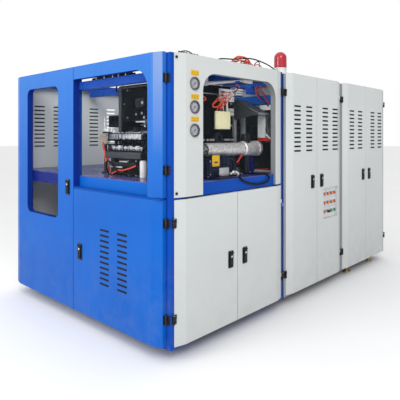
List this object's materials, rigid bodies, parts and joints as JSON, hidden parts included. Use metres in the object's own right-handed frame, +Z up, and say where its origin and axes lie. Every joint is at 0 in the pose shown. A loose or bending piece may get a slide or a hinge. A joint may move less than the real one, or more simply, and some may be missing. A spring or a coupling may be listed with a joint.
{
  "type": "blow moulding machine",
  "caption": "Automatic stretch blow moulding machine: blue-and-white clamp module with windows and open top, oven cabinet with control panel, electrical cabinet, beacon and levelling feet.",
  "frame": {"origin": "middle of the machine's box on the floor, at the underside of the levelling feet", "axes": "+Z up; +X along the machine from the blue doors to the far end; -Y the white front with the oven and electrical doors"},
  "size_m": [3.584, 2.172, 2.202],
  "materials": {
    "blue_paint": "gloss powder coat",
    "white_paint": "satin powder coat",
    "gray_paint": "satin powder coat",
    "zinc": "yellow zinc plating",
    "black_metal": "satin black",
    "stainless": "ground",
    "clear_lens": "clear",
    "needle_black": "satin",
    "clear_sheet": "clear sheet",
    "latch_black": "satin black",
    "plate_silver": "brushed",
    "holder_gray": "satin",
    "lamp_orange": "gloss",
    "button_green": "gloss",
    "white_plastic": "satin",
    "red_lens": "clear red",
    "foil": "foil",
    "gray_steel": "satin",
    "mould_metal": "machined",
    "navy_paint": "gloss",
    "hose_rubber": "satin"
  },
  "bodies": {
    "machine": {"front_frame": "blue_paint", "oven_cabinet_frame": "gray_paint", "electrical_cabinet_frame": "gray_paint", "deck_plate": "blue_paint", "levelling_feet": "zinc", "hinge_leaves": "black_metal", "arch_panel": "white_paint", "arch_screws": "black_metal", "gauge_cases": "stainless", "gauge_lenses": "clear_lens", "back_panels": "white_paint", "cabinet_panels": "gray_paint", "arch_pane": "clear_sheet", "beacon_base": "white_plastic", "beacon_dome": "red_lens", "press_frame": "black_metal", "stretch_housing": "black_metal", "tie_bars": "stainless", "gearmotor": "navy_paint", "air_duct": "foil", "air_panel": "plate_silver", "outlet_hood": "black_metal", "loading_rails": "stainless", "oven_unit": "stainless", "hoses_and_cables": "hose_rubber"},
    "tall_leaf": {"tall_door": "blue_paint", "tall_door_pane": "clear_sheet"},
    "upper_blue_leaf": {"upper_blue_door": "blue_paint", "upper_door_pane": "clear_sheet"},
    "lower_blue_leaf": {"lower_blue_door": "blue_paint"},
    "white_leaf_left": {"lower_white_door_left": "white_paint"},
    "white_leaf_right": {"lower_white_door_right": "white_paint"},
    "oven_leaf_left": {"oven_door_left": "white_paint"},
    "oven_leaf_right": {"oven_door_right": "white_paint", "control_plate": "plate_silver", "control_holders": "holder_gray", "pilot_lamps": "lamp_orange"},
    "electrical_leaf_left": {"electrical_door_left": "white_paint"},
    "electrical_leaf_right": {"electrical_door_right": "white_paint"},
    "lever_tall": {"latch_tall": "latch_black"},
    "lever_lower_blue": {"latch_lower_blue": "latch_black"},
    "lever_white_left": {"latch_white_left": "latch_black"},
    "lever_white_right": {"latch_white_right": "latch_black"},
    "lever_oven_left": {"latch_oven_left": "latch_black"},
    "lever_oven_right": {"latch_oven_right": "latch_black"},
    "lever_electrical_left": {"latch_electrical_left": "latch_black"},
    "lever_electrical_right": {"latch_electrical_right": "latch_black"},
    "selector": {"selector_knob": "latch_black"},
    "push_1": {"green_button_1": "button_green"},
    "push_2": {"green_button_2": "button_green"},
    "needle_top": {"gauge_needle_1": "needle_black"},
    "needle_middle": {"gauge_needle_2": "needle_black"},
    "needle_low": {"gauge_needle_3": "needle_black"},
    "reflector": {"beacon_reflector": "foil"},
    "front_clamp": {"front_platen": "gray_steel", "front_mould": "mould_metal"},
    "rear_clamp": {"rear_platen": "gray_steel", "rear_mould": "mould_metal"},
    "stretch_unit": {"stretch_carriage": "stainless"},
    "transfer": {"transfer_beam": "stainless"}
  },
  "joints": [
    {"name": "tall_door_hinge", "type": "hinge", "parent": "machine", "child": "tall_leaf", "pos_m": [-1.738, 1.036, 1], "axis": [0, 0, -1], "range_deg": [0, 100]},
    {"name": "upper_blue_door_hinge", "type": "hinge", "parent": "machine", "child": "upper_blue_leaf", "pos_m": [-1.738, -1.024, 1], "axis": [0, 0, 1], "range_deg": [0, 100]},
    {"name": "lower_blue_door_hinge", "type": "hinge", "parent": "machine", "child": "lower_blue_leaf", "pos_m": [-1.738, -1.024, 1], "axis": [0, 0, 1], "range_deg": [0, 100]},
    {"name": "white_door_left_hinge", "type": "hinge", "parent": "machine", "child": "white_leaf_left", "pos_m": [-1.701, -1.062, 1], "axis": [0, 0, -1], "range_deg": [0, 100]},
    {"name": "white_door_right_hinge", "type": "hinge", "parent": "machine", "child": "white_leaf_right", "pos_m": [-0.433, -1.062, 1], "axis": [0, 0, 1], "range_deg": [0, 85]},
    {"name": "oven_door_left_hinge", "type": "hinge", "parent": "machine", "child": "oven_leaf_left", "pos_m": [-0.377, -1.062, 1], "axis": [0, 0, -1], "range_deg": [0, 85]},
    {"name": "oven_door_right_hinge", "type": "hinge", "parent": "machine", "child": "oven_leaf_right", "pos_m": [0.651, -1.062, 1], "axis": [0, 0, 1], "range_deg": [0, 85]},
    {"name": "electrical_door_left_hinge", "type": "hinge", "parent": "machine", "child": "electrical_leaf_left", "pos_m": [0.69, -1.062, 1], "axis": [0, 0, -1], "range_deg": [0, 85]},
    {"name": "electrical_door_right_hinge", "type": "hinge", "parent": "machine", "child": "electrical_leaf_right", "pos_m": [1.785, -1.062, 1], "axis": [0, 0, 1], "range_deg": [0, 100]},
    {"name": "lever_tall_pivot", "type": "hinge", "parent": "tall_leaf", "child": "lever_tall", "pos_m": [-1.7876, 0.094, 1.108], "axis": [0, 1, 0], "range_deg": [0, 45]},
    {"name": "lever_lower_blue_pivot", "type": "hinge", "parent": "lower_blue_leaf", "child": "lever_lower_blue", "pos_m": [-1.7876, -0.084, 0.618], "axis": [0, 1, 0], "range_deg": [0, 45]},
    {"name": "lever_white_left_pivot", "type": "hinge", "parent": "white_leaf_left", "child": "lever_white_left", "pos_m": [-1.14, -1.0816, 0.614], "axis": [-1, 0, 0], "range_deg": [0, 45]},
    {"name": "lever_white_right_pivot", "type": "hinge", "parent": "white_leaf_right", "child": "lever_white_right", "pos_m": [-0.972, -1.0816, 0.614], "axis": [-1, 0, 0], "range_deg": [0, 45]},
    {"name": "lever_oven_left_pivot", "type": "hinge", "parent": "oven_leaf_left", "child": "lever_oven_left", "pos_m": [0.054, -1.0816, 1.096], "axis": [-1, 0, 0], "range_deg": [0, 45]},
    {"name": "lever_oven_right_pivot", "type": "hinge", "parent": "oven_leaf_right", "child": "lever_oven_right", "pos_m": [0.224, -1.0816, 1.096], "axis": [-1, 0, 0], "range_deg": [0, 45]},
    {"name": "lever_electrical_left_pivot", "type": "hinge", "parent": "electrical_leaf_left", "child": "lever_electrical_left", "pos_m": [1.158, -1.0816, 1.096], "axis": [-1, 0, 0], "range_deg": [0, 45]},
    {"name": "lever_electrical_right_pivot", "type": "hinge", "parent": "electrical_leaf_right", "child": "lever_electrical_right", "pos_m": [1.318, -1.0816, 1.096], "axis": [-1, 0, 0], "range_deg": [0, 45]},
    {"name": "selector_turn", "type": "hinge", "parent": "oven_leaf_right", "child": "selector", "pos_m": [0.3793, -1.054, 0.736], "axis": [0, 1, 0], "range_deg": [-45, 45]},
    {"name": "push_1_travel", "type": "slide", "parent": "oven_leaf_right", "child": "push_1", "axis": [0, 1, 0], "range_m": [0, 0.004], "stiffness_N_per_m": 400, "springref_m": -0.002},
    {"name": "push_2_travel", "type": "slide", "parent": "oven_leaf_right", "child": "push_2", "axis": [0, 1, 0], "range_m": [0, 0.004], "stiffness_N_per_m": 400, "springref_m": -0.002},
    {"name": "needle_top_turn", "type": "hinge", "parent": "machine", "child": "needle_top", "pos_m": [-1.524, -1.078, 1.825], "axis": [0, 1, 0], "range_deg": [0, 270], "stiffness_Nm_per_rad": 0.002, "springref_deg": -17.19},
    {"name": "needle_middle_turn", "type": "hinge", "parent": "machine", "child": "needle_middle", "pos_m": [-1.524, -1.078, 1.667], "axis": [0, 1, 0], "range_deg": [0, 270], "stiffness_Nm_per_rad": 0.002, "springref_deg": -17.19},
    {"name": "needle_low_turn", "type": "hinge", "parent": "machine", "child": "needle_low", "pos_m": [-1.524, -1.078, 1.51], "axis": [0, 1, 0], "range_deg": [0, 270], "stiffness_Nm_per_rad": 0.002, "springref_deg": -17.19},
    {"name": "reflector_spin", "type": "hinge", "parent": "machine", "child": "reflector", "pos_m": [-0.33, -0.974, 2.084], "axis": [0, 0, 1], "continuous": true},
    {"name": "front_clamp_slide", "type": "slide", "parent": "machine", "child": "front_clamp", "axis": [0, -1, 0], "range_m": [0, 0.08]},
    {"name": "rear_clamp_slide", "type": "slide", "parent": "machine", "child": "rear_clamp", "axis": [0, 1, 0], "range_m": [0, 0.08]},
    {"name": "stretch_slide", "type": "slide", "parent": "machine", "child": "stretch_unit", "axis": [0, 0, -1], "range_m": [0, 0.22]},
    {"name": "transfer_slide", "type": "slide", "parent": "machine", "child": "transfer", "axis": [-1, 0, 0], "range_m": [0, 0.24]}
  ],
  "couplings": [
    {"joint": "rear_clamp_slide", "follows": "front_clamp_slide", "ratio": 1}
  ]
}
